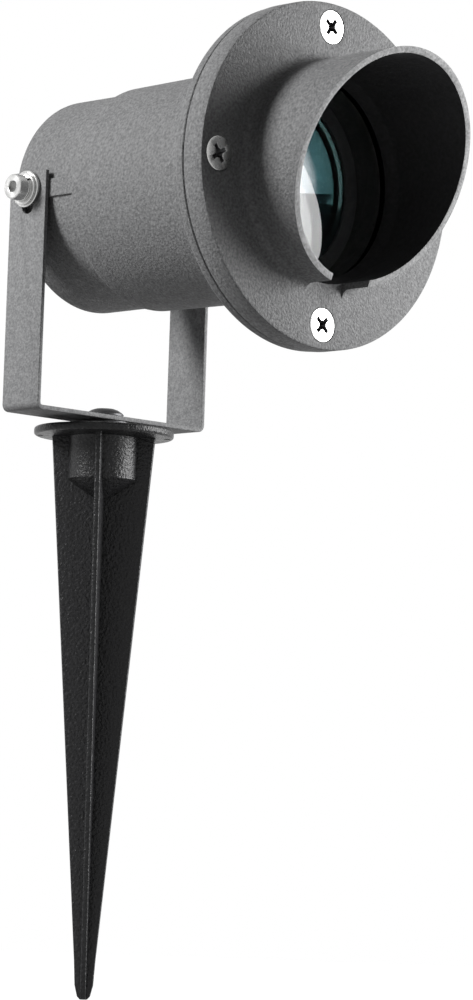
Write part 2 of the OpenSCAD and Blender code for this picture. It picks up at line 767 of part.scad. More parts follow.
// Two cores from the terminal block to the holder's contacts
module lamp_leads() {
    s0 = plate_rear + plate_t + 6.6;
    color([0.80, 0.79, 0.76]) head_frame() for (side = [-1, 1])
        wire([[side * 7.6, block_high + 0.1, s0], [side * 7.8, block_high + 1.6, s0],
            [side * 9.4, block_high + 3.2, s0], [side * 12.6, -11, s0], [side * 14.4, -7.4, s0],
            [side * 14.8, -3, s0], [side * 14.5, -1, s0], [side * 13.8, -0.1, s0],
            [side * 13.1, 0, s0]], 1.6, [0, 0, 1]);
}

stake();
stake_nut();
stake_bolt();
hub_washer();
bracket();
pivot_screws();
spring_washers();
flat_washers();
slot_washers();
housing();
bezel();
bezel_screws();
flange_gasket();
glass_gasket();
cover_glass();
lamp_reflector();
lamp_front_glass();
lamp_capsule();
lamp_base();
lamp_pins();
lamp_ring();
lampholder();
holder_contacts();
holder_bracket();
holder_screws();
yoke_screws();
terminal_block();
terminal_screws();
earth_tag();
earth_screw();
gland_body();
gland_seal();
gland_cap();
gland_washer();
gland_locknut();
lead_live();
lead_neutral();
lead_earth();
lamp_leads();
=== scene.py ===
import json
import math

import bpy
from mathutils import Matrix, Vector


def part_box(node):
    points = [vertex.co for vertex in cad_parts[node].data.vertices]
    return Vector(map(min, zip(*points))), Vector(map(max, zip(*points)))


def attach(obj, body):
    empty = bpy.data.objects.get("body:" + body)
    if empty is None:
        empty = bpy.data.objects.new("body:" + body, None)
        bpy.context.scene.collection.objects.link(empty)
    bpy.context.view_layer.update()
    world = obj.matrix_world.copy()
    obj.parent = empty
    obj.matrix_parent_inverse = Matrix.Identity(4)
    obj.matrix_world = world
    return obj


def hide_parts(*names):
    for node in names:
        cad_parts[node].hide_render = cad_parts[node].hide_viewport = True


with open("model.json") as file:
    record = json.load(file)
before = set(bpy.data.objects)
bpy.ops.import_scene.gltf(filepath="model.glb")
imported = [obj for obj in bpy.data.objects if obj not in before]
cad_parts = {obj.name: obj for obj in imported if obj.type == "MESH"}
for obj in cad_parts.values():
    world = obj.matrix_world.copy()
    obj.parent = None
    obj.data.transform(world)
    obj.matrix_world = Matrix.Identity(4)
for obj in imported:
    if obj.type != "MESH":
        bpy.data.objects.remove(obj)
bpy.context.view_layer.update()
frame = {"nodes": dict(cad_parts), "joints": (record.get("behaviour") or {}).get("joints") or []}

# ---------------------------------------------------------------- camera
# A long lens a little over a metre away, to the left of the beam and just below the head, so that the
# front of the bezel, the left arm and the whole spike show at once.
camera_place = Vector((-0.8340, -0.9032, -0.1407))
view_azimuth = math.radians(-44.47)
view_elevation = math.radians(-5.78)
view_roll = math.radians(1.92)
lens_mm = 159.6

bpy.ops.object.select_all(action="DESELECT")
bpy.ops.object.camera_add()
camera = bpy.context.object
camera.name = "camera"
camera.data.lens = lens_mm
camera.data.clip_start = 0.05
camera.matrix_world = (
    Matrix.Translation(camera_place)
    @ Matrix.Rotation(view_azimuth, 4, "Z")
    @ Matrix.Rotation(math.radians(90) - view_elevation, 4, "X")
    @ Matrix.Rotation(view_roll, 4, "Z")
)
bpy.context.scene.camera = camera
bpy.context.scene.view_settings.view_transform = "Standard"

# ---------------------------------------------------------------- ground spike
# One injection moulding in black plastic: a round disc that stops at the ground, a boss that holds the
# nut, and four tapering ribs with a draft towards their parting line. Its surface is spark-eroded.
mm = 0.001
spike_low, spike_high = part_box("stake")
tilt_z = [joint["pos_m"][2] for joint in frame["joints"] if joint["name"] == "head_tilt"][0]
disc_radius = spike_high.x
disc_thickness = 2.2 * mm
disc_edge = 0.7 * mm
hub_radius = 8 * mm
boss_radius = 9.5 * mm
boss_depth = 12 * mm
boss_cone = 6 * mm
rib_reach = 14.5 * mm
rib_tip_reach = 3 * mm
rib_half = 0.75 * mm
rib_ridge = 0.22 * mm
rib_edge = 0.24 * mm
rib_turn = math.radians(41)
rib_end = -spike_low.z
blunt_tip = 11 * mm
gate_radius = 0.9 * mm
gate_depth = 0.6 * mm
gate_x = 12.4 * mm
gate_y = -12.6 * mm


def only(piece):
    """Selects one piece and nothing else."""
    bpy.ops.object.select_all(action="DESELECT")
    piece.select_set(True)
    bpy.context.view_layer.objects.active = piece
    return piece


def select_where(piece, kind, wanted):
    """In edit mode, selects only the vertices, edges or faces for which wanted(element) is true."""
    bpy.ops.mesh.select_mode(type={"vertices": "VERT", "edges": "EDGE", "polygons": "FACE"}[kind])
    bpy.ops.mesh.select_all(action="DESELECT")
    bpy.ops.object.mode_set(mode="OBJECT")
    for element in getattr(piece.data, kind):
        element.select = wanted(element)
    bpy.ops.object.mode_set(mode="EDIT")


def settle(piece):
    """Applies a piece's place, turn and size to its mesh, so that its origin is the model's origin."""
    only(piece)
    bpy.ops.object.transform_apply(location=True, rotation=True, scale=True)
    return piece


def close_up(piece):
    """Merges doubles and turns all faces outwards."""
    only(piece)
    bpy.ops.object.mode_set(mode="EDIT")
    bpy.ops.mesh.select_all(action="SELECT")
    bpy.ops.mesh.remove_doubles(threshold=0.002 * mm)
    bpy.ops.mesh.normals_make_consistent(inside=False)
    bpy.ops.object.mode_set(mode="OBJECT")
    return piece


def turned(name, outline, sides=128):
    """A piece turned about its own +Z. The outline's (radius, height) points become rings in turn.
    An outline that comes back to its start makes a ring, any other has flat ends."""
    hollow = outline[0] == outline[-1]
    radius, height = outline[0]
    bpy.ops.object.select_all(action="DESELECT")
    bpy.ops.mesh.primitive_circle_add(
        vertices=sides, radius=radius, location=(0, 0, height), fill_type="NOTHING" if hollow else "NGON")
    piece = settle(bpy.context.object)
    piece.name = piece.data.name = name
    bpy.ops.object.mode_set(mode="EDIT")
    bpy.ops.mesh.select_all(action="SELECT")
    for (last_radius, last_height), (radius, height) in zip(outline, outline[1:]):
        bpy.ops.mesh.extrude_region_move(TRANSFORM_OT_translate={"value": (0, 0, height - last_height)})
        grow = radius / last_radius
        bpy.ops.transform.resize(value=(grow, grow, 1), center_override=(0, 0, height))
    bpy.ops.object.mode_set(mode="OBJECT")
    return close_up(piece)


def cut(piece, tool, how="DIFFERENCE"):
    """Cuts the tool out of a piece, or with how="UNION" adds it."""
    change = piece.modifiers.new("cut", "BOOLEAN")
    change.operation = how
    change.solver = "EXACT"
    change.object = tool
    only(piece)
    bpy.ops.object.modifier_apply(modifier="cut")
    bpy.data.objects.remove(tool)
    return piece


def ease(piece, width, segments=3, from_angle=32):
    """Rounds every edge that is sharper than from_angle."""
    change = piece.modifiers.new("ease", "BEVEL")
    change.width = width
    change.segments = segments
    change.limit_method = "ANGLE"
    change.angle_limit = math.radians(from_angle)
    change.use_clamp_overlap = True
    only(piece)
    bpy.ops.object.modifier_apply(modifier="ease")
    return piece


def smooth(piece, angle=38):
    """Shades a piece smooth, except over edges sharper than the angle."""
    only(piece)
    bpy.ops.object.shade_smooth_by_angle(angle=math.radians(angle))
    return piece


def arc(centre_radius, centre_height, radius, start, end, steps=5):
    """Outline points on an arc, from one angle to the other, in degrees."""
    turns = [math.radians(start + (end - start) * step / steps) for step in range(steps + 1)]
    return [(centre_radius + radius * math.cos(t), centre_height + radius * math.sin(t)) for t in turns]


def finish(name, colour, roughness, metallic=0.0, specular=0.5):
    """A new material and its shader."""
    made = bpy.data.materials.new(name)
    made.use_nodes = True
    shader = made.node_tree.nodes["Principled BSDF"]
    shader.inputs["Base Color"].default_value = (*colour, 1)
    shader.inputs["Roughness"].default_value = roughness
    shader.inputs["Metallic"].default_value = metallic
    shader.inputs["Specular IOR Level"].default_value = specular
    return made, shader


def noise(made, scale, detail=3.0, stretch=(1, 1, 1)):
    """Noise on object coordinates. scale is in features per metre."""
    nodes, links = made.node_tree.nodes, made.node_tree.links
    place = nodes.new("ShaderNodeTexCoord")
    spread = nodes.new("ShaderNodeMapping")
    spread.inputs["Scale"].default_value = stretch
    pattern = nodes.new("ShaderNodeTexNoise")
    pattern.inputs["Scale"].default_value = scale
    pattern.inputs["Detail"].default_value = detail
    links.new(place.outputs["Object"], spread.inputs["Vector"])
    links.new(spread.outputs["Vector"], pattern.inputs["Vector"])
    return pattern.outputs["Fac"]


def mottle(made, shader, dark, light, pattern, low=0.3, high=0.7):
    """Lets the colour vary from dark to light with a pattern."""
    ramp = made.node_tree.nodes.new("ShaderNodeValToRGB")
    ramp.color_ramp.elements[0].position = low
    ramp.color_ramp.elements[0].color = (*dark, 1)
    ramp.color_ramp.elements[1].position = high
    ramp.color_ramp.elements[1].color = (*light, 1)
    made.node_tree.links.new(pattern, ramp.inputs["Fac"])
    made.node_tree.links.new(ramp.outputs["Color"], shader.inputs["Base Color"])


def dent(made, shader, pattern, height, under=None):
    """Raises and lowers the surface with a pattern, on top of another bump if one is given."""
    bump = made.node_tree.nodes.new("ShaderNodeBump")
    bump.inputs["Distance"].default_value = height
    made.node_tree.links.new(pattern, bump.inputs["Height"])
    if under:
        made.node_tree.links.new(under, bump.inputs["Normal"])
    made.node_tree.links.new(bump.outputs["Normal"], shader.inputs["Normal"])
    return bump.outputs["Normal"]


def vary_gloss(made, shader, pattern, low, high):
    """Lets the roughness vary from low to high with a pattern."""
    spread = made.node_tree.nodes.new("ShaderNodeMapRange")
    spread.inputs["From Min"].default_value = 0.3
    spread.inputs["From Max"].default_value = 0.7
    spread.inputs["To Min"].default_value = low
    spread.inputs["To Max"].default_value = high
    made.node_tree.links.new(pattern, spread.inputs["Value"])
    made.node_tree.links.new(spread.outputs["Result"], shader.inputs["Roughness"])


def rod(radius, length, centre, rotation=(0, 0, 0), sides=48):
    """A straight bar along its own Z, round or with flat sides, around the given centre."""
    bpy.ops.object.select_all(action="DESELECT")
    bpy.ops.mesh.primitive_cylinder_add(
        vertices=sides, radius=radius, depth=length, location=centre, rotation=rotation)
    return settle(bpy.context.object)


def rib_plate(name, turn):
    """Two opposite ribs as one plate: a section with a ridge on each narrow side, drawn down and narrowed."""
    bpy.ops.object.select_all(action="DESELECT")
    bpy.ops.mesh.primitive_circle_add(vertices=6, radius=1, fill_type="NGON", rotation=(0, 0, math.pi / 2))
    plate = bpy.context.object
    plate.name = name
    # four of the hexagon's corners become those of the broad sides, and the other two the ridges
    flat = rib_reach - rib_ridge
    plate.scale = (rib_half / math.sin(math.pi / 3), flat / math.cos(math.pi / 3), 1)
    settle(plate)
    bpy.ops.object.mode_set(mode="EDIT")
    select_where(plate, "vertices", lambda v: abs(v.co.y) < 0.5 * rib_half)
    bpy.ops.transform.resize(value=(rib_reach / (2 * flat), 1, 1), center_override=(0, 0, 0))
    bpy.ops.mesh.select_mode(type="FACE")
    bpy.ops.mesh.select_all(action="SELECT")
    stations = [(rib_reach, disc_thickness * 0.6), (rib_reach, -0.2 * mm), (rib_tip_reach, blunt_tip - rib_end),
                (rib_tip_reach * 0.86, 4 * mm - rib_end), (rib_tip_reach * 0.6, 0.9 * mm - rib_end),
                (rib_tip_reach * 0.32, -rib_end)]
    bpy.ops.transform.translate(value=(0, 0, stations[0][1]))
    for (last_reach, last_height), (reach, height) in zip(stations, stations[1:]):
        bpy.ops.mesh.extrude_region_move(TRANSFORM_OT_translate={"value": (0, 0, height - last_height)})
        bpy.ops.transform.resize(value=(reach / last_reach, 1, 1), center_override=(0, 0, height))
    bpy.ops.object.mode_set(mode="OBJECT")
    close_up(plate)
    plate.rotation_euler.z = turn
    settle(plate)
    return ease(plate, rib_edge, 3, 40)


spike = turned("spike_moulding", [
    (boss_radius * 0.12, -boss_depth - boss_cone), (boss_radius * 0.9, -boss_depth - 0.8 * mm),
    (boss_radius, -boss_depth), (boss_radius, -0.8 * mm), (boss_radius + 0.25 * mm, -0.25 * mm),
    (boss_radius + 0.8 * mm, 0)]
    + arc(disc_radius - disc_edge, disc_edge, disc_edge, -90, 0)
    + arc(disc_radius - disc_edge, disc_thickness - disc_edge, disc_edge, 0, 90)
    + [(hub_radius + 0.3 * mm, disc_thickness), (hub_radius, disc_thickness + 0.3 * mm),
       (hub_radius - 0.3 * mm, spike_high.z), (hub_radius * 0.5, spike_high.z)], sides=144)
for name, turn in (("rib_plate_a", rib_turn), ("rib_plate_b", rib_turn + math.radians(90))):
    cut(spike, rib_plate(name, turn), "UNION")

# two gate marks under the disc, near its edge
for side in (-1, 1):
    cut(spike, rod(gate_radius, gate_depth, (side * gate_x, side * gate_y, 0), sides=24))
smooth(close_up(spike), 34)
spike_plastic, shader = finish("spike_plastic", (0.012, 0.012, 0.0125), 0.34, specular=0.2)
mottle(spike_plastic, shader, (0.004, 0.004, 0.0045), (0.021, 0.021, 0.022), noise(spike_plastic, 1500, 4))
vary_gloss(spike_plastic, shader, noise(spike_plastic, 600, 2), 0.27, 0.4)
swell = dent(spike_plastic, shader, noise(spike_plastic, 160, 2), 0.05 * mm)
dent(spike_plastic, shader, noise(spike_plastic, 1250, 3), 0.32 * mm, swell)
spike.data.materials.append(spike_plastic)
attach(spike, "stake_body")
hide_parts("stake")

# ---------------------------------------------------------------- bolt, nut and washer
# Zinc-plated steel: a low-headed cross-recess bolt goes down through the bracket, a plain washer and the
# hub into a hexagon nut that is pressed into the boss.
bolt_low, bolt_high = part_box("stake_bolt")
bolt_radius = 3 * mm
bolt_head_radius = bolt_high.x
bolt_crown = bolt_high.z
bolt_seat = bolt_crown - 2.4 * mm
bolt_edge = 0.08 * mm


def block(size, centre, rotation=(0, 0, 0)):
    """A rectangular block around the given centre."""
    bpy.ops.object.select_all(action="DESELECT")
    bpy.ops.mesh.primitive_cube_add(size=1, location=centre, rotation=rotation)
    bpy.context.object.scale = size
    return settle(bpy.context.object)


def recess(name, top, length, width, depth):
    """Cutter for a cross recess: two tapering blades and a cone, pointing down from top."""
    tool = turned(name, [(width * 0.35, top - depth), (width * 1.1, top + 0.2 * mm)], 24)
    for turn in (0, 90):
        blade = block((length, width, depth * 0.72), (0, 0, top - depth * 0.34), (0, 0, math.radians(turn)))
        bpy.ops.object.mode_set(mode="EDIT")
        select_where(blade, "vertices", lambda v: v.co.z < top - depth * 0.5)
        bpy.ops.transform.resize(value=(0.62, 0.62, 1), center_override=(0, 0, top - depth))
        bpy.ops.object.mode_set(mode="OBJECT")
        cut(tool, blade, "UNION")
    return tool


def keep_own_shape(piece):
    """Stores where each point is on the piece itself, so that turning marks follow it wherever it is put."""
    own = piece.data.attributes.new("own", "FLOAT_VECTOR", "POINT")
    own.data.foreach_set("vector", [value for vertex in piece.data.vertices for value in vertex.co])
    return piece


def turned_metal(name, colour, roughness, marks=3200, height=0.012 * mm):
    """Bright metal with fine rings around the piece's own axis and a few stains."""
    made, shader = finish(name, colour, roughness, metallic=1.0)
    nodes, links = made.node_tree.nodes, made.node_tree.links
    own = nodes.new("ShaderNodeAttribute")
    own.attribute_name = "own"
    flat = nodes.new("ShaderNodeVectorMath")
    flat.operation = "MULTIPLY"
    flat.inputs[1].default_value = (1, 1, 0)
    reach = nodes.new("ShaderNodeVectorMath")
    reach.operation = "LENGTH"
    rings = nodes.new("ShaderNodeTexNoise")
    rings.noise_dimensions = "1D"
    rings.inputs["Scale"].default_value = marks
    rings.inputs["Detail"].default_value = 2
    links.new(own.outputs["Vector"], flat.inputs[0])
    links.new(flat.outputs["Vector"], reach.inputs[0])
    links.new(reach.outputs["Value"], rings.inputs["W"])
    dent(made, shader, rings.outputs["Fac"], height)
    vary_gloss(made, shader, noise(made, 420, 3), roughness * 0.8, roughness * 1.35)
    mottle(made, shader, tuple(value * 0.86 for value in colour), colour, noise(made, 260, 3), 0.25, 0.55)
    return made


# dark zinc for the bolt and the hub washer; the same finish is painted shade in the bezel screws' recesses
dark_zinc_and_recess_shade = turned_metal("oiled_zinc", (0.06, 0.06, 0.062), 0.5)
bolt = turned("spike_bolt", [(bolt_radius - 0.6 * mm, bolt_low.z), (bolt_radius, bolt_low.z + 0.6 * mm),
    (bolt_radius, bolt_seat - 0.3 * mm), (bolt_radius + 0.2 * mm, bolt_seat), (bolt_head_radius - 0.2 * mm, bolt_seat),
    (bolt_head_radius, bolt_seat + 0.25 * mm), (bolt_head_radius, bolt_seat + 0.8 * mm),
    (bolt_head_radius - 0.5 * mm, bolt_seat + 1.25 * mm), (bolt_head_radius - 1.5 * mm, bolt_seat + 1.9 * mm),
    (bolt_head_radius - 2.6 * mm, bolt_crown - 0.12 * mm), (1.2 * mm, bolt_crown)], 72)
cut(bolt, recess("bolt_recess", bolt_crown, 5 * mm, 1 * mm, 1.7 * mm))
smooth(keep_own_shape(ease(close_up(bolt), bolt_edge, 2, 50)))
bolt.data.materials.append(dark_zinc_and_recess_shade)
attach(bolt, "stake_body")
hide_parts("stake_bolt")


def recoat(node, made):
    """Gives a piece that keeps its CAD shape a finish of its own."""
    piece = frame["nodes"][node]
    for place in piece.material_slots:
        place.material = made


plated, shader = finish("plated_steel", (0.62, 0.63, 0.65), 0.35, metallic=1.0)
mottle(plated, shader, (0.48, 0.485, 0.5), (0.68, 0.69, 0.7), noise(plated, 300, 4))
vary_gloss(plated, shader, noise(plated, 900, 2), 0.28, 0.45)
dent(plated, shader, noise(plated, 700, 3), 0.02 * mm)
recoat("stake_nut", plated)
recoat("hub_washer", dark_zinc_and_recess_shade)

# ---------------------------------------------------------------- bracket
# A steel strip with two bends and a slot in each arm, powder-coated in fine-textured anthracite. It
# turns about the bolt on the hub.
bracket_low, bracket_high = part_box("bracket")
strip_half = bracket_high.y
strip_thickness = 1.2 * mm
bend_radius = 2 * mm
slot_radius = 2.3 * mm
slot_drop = 4.5 * mm
bolt_clearance = 0.15 * mm
strip_edge = 0.18 * mm
across_head = (0, math.radians(90), 0)

bpy.ops.object.select_all(action="DESELECT")
bpy.ops.mesh.primitive_plane_add(size=1, location=(0, 0, bracket_low.z + strip_thickness / 2),
                                 rotation=across_head)
strip = bpy.context.object
strip.name = strip.data.name = "bracket_strip"
strip.scale = (strip_thickness, 2 * strip_half, 1)
settle(strip)
bpy.ops.object.mode_set(mode="EDIT")
bpy.ops.mesh.select_all(action="SELECT")
bend_x = bracket_high.x - bend_radius
bend_z = bracket_low.z + bend_radius
bpy.ops.mesh.extrude_region_move(TRANSFORM_OT_translate={"value": (bend_x, 0, 0)})
bpy.ops.mesh.spin(steps=8, angle=math.radians(90), center=(bend_x, 0, bend_z), axis=(0, 1, 0))
bpy.ops.mesh.extrude_region_move(TRANSFORM_OT_translate={"value": (0, 0, bracket_high.z - bend_z)})
select_where(strip, "polygons", lambda face: abs(face.center.x) < 0.01 * mm and abs(face.normal.x) > 0.9)
bpy.ops.mesh.delete(type="FACE")
bpy.ops.object.mode_set(mode="OBJECT")
other_arm = strip.modifiers.new("other_arm", "MIRROR")
other_arm.use_axis[0] = True
only(strip)
bpy.ops.object.modifier_apply(modifier="other_arm")
close_up(strip)
# slots: a round bar whose lower half is drawn down
slot_tool = rod(slot_radius, 4 * bracket_high.x, (0, 0, tilt_z), across_head)
bpy.ops.object.mode_set(mode="EDIT")
select_where(slot_tool, "vertices", lambda v: v.co.z < tilt_z - 0.1 * mm)
bpy.ops.transform.translate(value=(0, 0, -slot_drop))
bpy.ops.object.mode_set(mode="OBJECT")
cut(strip, slot_tool)
cut(strip, rod(bolt_radius + bolt_clearance, 5 * strip_thickness, (0, 0, bracket_low.z)))
smooth(ease(close_up(strip), strip_edge, 2, 50), 34)


def powder_coat(name, dark, light, grain, height, roughness=0.62):
    """Fine-textured powder coat: a speckled, slightly uneven grey with a dense sandy grain."""
    made, shader = finish(name, light, roughness, specular=0.15)
    mottle(made, shader, dark, light, noise(made, grain * 0.85, 4), 0.32, 0.68)
    vary_gloss(made, shader, noise(made, 500, 2), roughness - 0.08, roughness + 0.1)
    swell = dent(made, shader, noise(made, 120, 2), 0.06 * mm)
    dent(made, shader, noise(made, grain, 3), height, swell)
    return made


strip_coat = powder_coat("strip_coat", (0.11, 0.111, 0.113), (0.2, 0.201, 0.203), 1900, 0.14 * mm)
strip.data.materials.append(strip_coat)
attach(strip, "bracket_body")
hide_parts("bracket")

# ---------------------------------------------------------------- housing
# A pressure die casting in aluminium with the same coat: a cup that steps out in front of the arms,
# flares into the flange, and has a flat pad on each side where the arms clamp it.
housing_low, housing_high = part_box("housing")
rear_s = -housing_high.y
flange_front = -housing_low.y
flange_radius = housing_high.x
flange_rear = flange_front - 3.2 * mm
rear_radius = 29.8 * mm
front_radius = 31.1 * mm
foot_radius = 31.9 * mm
shoulder = 15.5 * mm
shoulder_end = 17.3 * mm
bore_radius = 28.3 * mm
seat_radius = 32.1 * mm
seat_depth = 2.1 * mm
rear_wall = 3 * mm
gland_hole = 8.1 * mm
arm_gap = 0.15 * mm
pad_x = bracket_high.x - strip_thickness - arm_gap
pad_half = 2.5 * mm
pad_depth = 3.2 * mm
pad_rear = rear_s + 0.6 * mm
pad_edge = 0.22 * mm
pad_boss_radius = 4.5 * mm
pad_boss_length = 7.4 * mm
pad_boss_cover = 1.2 * mm
tilt_thread = 2.05 * mm
flange_fillet = 2.6 * mm
flange_edge = 1.2 * mm
screw_circle = 40.3 * mm
screw_hole = 2.55 * mm
circle_of_screws = [(screw_circle * math.cos(turn * math.pi / 2), screw_circle * math.sin(turn * math.pi / 2))
                    for turn in range(4)]
head_frame = Matrix.Translation((0, 0, tilt_z)) @ Matrix.Rotation(math.radians(90), 4, "X")


def into_head(piece):
    """From the head's own axes, with +Z forwards along the beam and +Y up, to its place."""
    piece.matrix_world = head_frame @ piece.matrix_world
    return settle(piece)


housing_outline = (
    [(gland_hole, rear_s)] + arc(rear_radius - 1 * mm, rear_s + 1 * mm, 1 * mm, -90, 0, 5)
    + [(rear_radius, 0), (rear_radius, shoulder - 0.4 * mm), (rear_radius + 0.12 * mm, shoulder + 0.2 * mm),
       (front_radius - 0.12 * mm, shoulder_end - 0.2 * mm), (front_radius, shoulder_end + 0.4 * mm),
       (front_radius + (foot_radius - front_radius) * 0.5, (shoulder_end + flange_rear) / 2)]
    + arc(foot_radius + flange_fillet, flange_rear - flange_fillet, flange_fillet, 180, 90, 7)
    + arc(flange_radius - flange_edge, flange_rear + flange_edge, flange_edge, -90, 0, 5)
    + [(flange_radius, flange_front - 0.25 * mm), (flange_radius - 0.25 * mm, flange_front),
       (seat_radius, flange_front), (seat_radius, flange_front - seat_depth),
       (bore_radius, flange_front - seat_depth), (bore_radius, rear_s + rear_wall),
       (gland_hole, rear_s + rear_wall), (gland_hole, rear_s)])
casting = turned("housing_casting", housing_outline, 176)
# outside, a pad on each side, and behind it, inside the cup, the boss for the tilt screw's thread
for side in (-1, 1):
    pad = block((pad_depth, 2 * pad_half, shoulder_end - pad_rear),
                (side * (pad_x - pad_depth / 2), 0, (pad_rear + shoulder_end) / 2))
    cut(casting, ease(pad, pad_edge, 2), "UNION")
    cut(casting, rod(pad_boss_radius, pad_boss_length,
                     (side * (pad_x - pad_boss_cover - pad_boss_length / 2), 0, 0), across_head, 40), "UNION")
cut(casting, rod(tilt_thread, 3 * pad_x, (0, 0, 0), across_head, 40))
for x, y in circle_of_screws:
    cut(casting, rod(screw_hole, 8 * mm, (x, y, flange_rear + 1.5 * mm), sides=32))
smooth(close_up(casting), 30)
into_head(casting)
cast_coat = powder_coat("cast_coat", (0.095, 0.0955, 0.097), (0.185, 0.186, 0.188), 1500, 0.3 * mm)
black_inside_and_cup_shade, shader = finish("hood_black", (0.012, 0.012, 0.0125), 0.72, specular=0.25)
mottle(black_inside_and_cup_shade, shader, (0.008, 0.008, 0.0085), (0.017, 0.017, 0.018), noise(black_inside_and_cup_shade, 900, 3))
vary_gloss(black_inside_and_cup_shade, shader, noise(black_inside_and_cup_shade, 260, 2), 0.6, 0.8)
dent(black_inside_and_cup_shade, shader, noise(black_inside_and_cup_shade, 1500, 3), 0.05 * mm)
casting.data.materials.append(cast_coat)
casting.data.materials.append(black_inside_and_cup_shade)
# painted shade: the faces inside the cup get the hood's black finish, for the shade that fills the cup
beam_axis = Vector((0, 0, tilt_z))
for face in casting.data.polygons:
    away = casting.data.vertices[face.vertices[0]].co - beam_axis
    away.y = 0
    if away.length < seat_radius + 0.05 * mm and away.dot(face.normal) < -0.9 * away.length:
        face.material_index = 1
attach(casting, "head_body")
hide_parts("housing")

# ---------------------------------------------------------------- seals
# Black rubber: a thin flat seal between flange and bezel, and a channel seal around the cover glass,
# both pressed by the bezel's screws, and the gland's seal and washer.
seal_rubber, shader = finish("seal_rubber", (0.018, 0.018, 0.018), 0.8, specular=0.3)
mottle(seal_rubber, shader, (0.012, 0.012, 0.012), (0.026, 0.026, 0.026), noise(seal_rubber, 900, 3))
vary_gloss(seal_rubber, shader, noise(seal_rubber, 300, 2), 0.7, 0.9)
dent(seal_rubber, shader, noise(seal_rubber, 1200, 3), 0.03 * mm)
for node in ("flange_gasket", "glass_gasket", "gland_seal", "gland_washer"):
    recoat(node, seal_rubber)

# ---------------------------------------------------------------- bezel and hood
# The second casting: a thick round bezel and, in one piece with it, the glare hood with its slanted
# mouth and the drain notch at the bottom. The coat is grey outside, and the hood is matt black inside.
bezel_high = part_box("bezel")[1]
bezel_radius = bezel_high.x
bezel_rear = -bezel_high.y
bezel_front = 84 * mm
hood_radius = 30.8 * mm
hood_inside = 29.1 * mm
hood_slant = math.radians(20.6)
hood_length = 20.9 * mm
hood_foot = 2.6 * mm
lip_radius = 27.5 * mm
lip_rear = 79.5 * mm
lip_front = 79.8 * mm
lip_cone_end = 82.8 * mm
notch_half = 7 * mm
hood_cut_high = bezel_front + 45 * mm
notch_depth = 9 * mm
mouth_size = 300 * mm
bezel_edge = 0.26 * mm
seat_hole = 2.7 * mm
seat_wide = 5 * mm

bezel = turned("bezel_casting", (
    [(lip_radius, lip_rear), (seat_radius, lip_rear), (seat_radius, bezel_rear),
     (bezel_radius - 0.5 * mm, bezel_rear), (bezel_radius - 0.15 * mm, bezel_rear + 0.15 * mm),
     (bezel_radius, bezel_rear + 0.5 * mm), (bezel_radius, bezel_front - 0.55 * mm),
     (bezel_radius - 0.15 * mm, bezel_front - 0.16 * mm), (bezel_radius - 0.55 * mm, bezel_front)]
    + arc(hood_radius + hood_foot, bezel_front + hood_foot, hood_foot, 270, 180, 7)
    + [(hood_radius, hood_cut_high), (hood_inside, hood_cut_high), (hood_inside, lip_cone_end + 0.5 * mm),
       (hood_inside - 0.15 * mm, lip_cone_end - 0.2 * mm), (lip_radius, lip_front), (lip_radius, lip_rear)]), 192)
# all that lies in front of the slanted mouth goes, and then the notch goes through the hood and its foot
mouth_tool = block((mouth_size, mouth_size, mouth_size), (0, 0, mouth_size / 2))
mouth_tool.matrix_world = (Matrix.Translation((0, 0, bezel_front + hood_length))
                           @ Matrix.Rotation(hood_slant, 4, "X"))
cut(bezel, settle(mouth_tool))
cut(bezel, block((2 * notch_half, notch_depth, 40 * mm), (0, -hood_radius - 0.5 * mm, bezel_front + 20 * mm)))
for x, y in circle_of_screws:
    seat = turned("seat_tool", [(seat_hole, bezel_rear - 1 * mm), (seat_hole, bezel_front - 2.2 * mm),
                                (seat_wide - 0.14 * mm, bezel_front - 0.1 * mm),
                                (seat_wide, bezel_front + 1 * mm)], 48)
    seat.location = (x, y, 0)
    cut(bezel, settle(seat))
ease(close_up(bezel), bezel_edge, 3, 42)
smooth(bezel, 34)
bezel.data.materials.append(cast_coat)
bezel.data.materials.append(black_inside_and_cup_shade)
bezel.data.materials.append(
    powder_coat("rim_coat", (0.17, 0.171, 0.173), (0.33, 0.331, 0.334), 1600, 0.12 * mm))
# the black goes on the inside, and a lighter coat, a painted highlight, goes on the faces of the rim and the notch
for face in bezel.data.polygons:
    corner = bezel.data.vertices[face.vertices[0]].co
    reach = math.hypot(corner.x, corner.y)
    inwards = -(corner.x * face.normal.x + corner.y * face.normal.y) / reach
    if reach < hood_inside + 0.05 * mm and (inwards > 0.7 or face.center.z < bezel_front):
        face.material_index = 1
    elif reach < hood_radius + 0.05 * mm and face.center.z > bezel_front + hood_foot and abs(inwards) < 0.8:
        face.material_index = 2
into_head(bezel)
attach(bezel, "head_body")
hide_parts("bezel")

# ---------------------------------------------------------------- bezel screws
# Four stainless countersunk screws with cross recesses hold the bezel, the seals and the glass to the
# flange. Their heads lie flush in dark rings of shadow.
screw_end = -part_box("bezel_screws")[1].y
csk_radius = 4.6 * mm
csk_shank = 2.48 * mm
screw_top = bezel_front - 0.02 * mm
cross_length = 5.3 * mm
cross_width = 1.2 * mm
cross_depth = 2.6 * mm
recess_shade_reach = 2.6 * mm
csk_edge = 0.07 * mm
cross_turns = (38, 52, 33, 47)
stainless = turned_metal("stainless", (0.5, 0.5, 0.495), 0.24, marks=2600)


def bezel_screw(x, y, twist):
    """One screw, made on its own axis and then carried to its place on the circle."""
    screw = turned("bezel_screw", [(csk_shank - 0.38 * mm, screw_end), (csk_shank, screw_end + 0.5 * mm),
        (csk_shank, screw_top - 2.1 * mm), (csk_radius - 0.06 * mm, screw_top - 0.28 * mm),
        (csk_radius, screw_top - 0.16 * mm), (csk_radius - 0.04 * mm, screw_top - 0.05 * mm),
        (csk_radius - 0.18 * mm, screw_top), (2.2 * mm, screw_top)], 72)
    cut(screw, recess("cross_tool", screw_top, cross_length, cross_width, cross_depth))
    keep_own_shape(ease(close_up(screw), csk_edge, 2, 50))
    screw.rotation_euler.z = math.radians(twist)
    screw.location = (x, y, 0)
    return settle(screw)


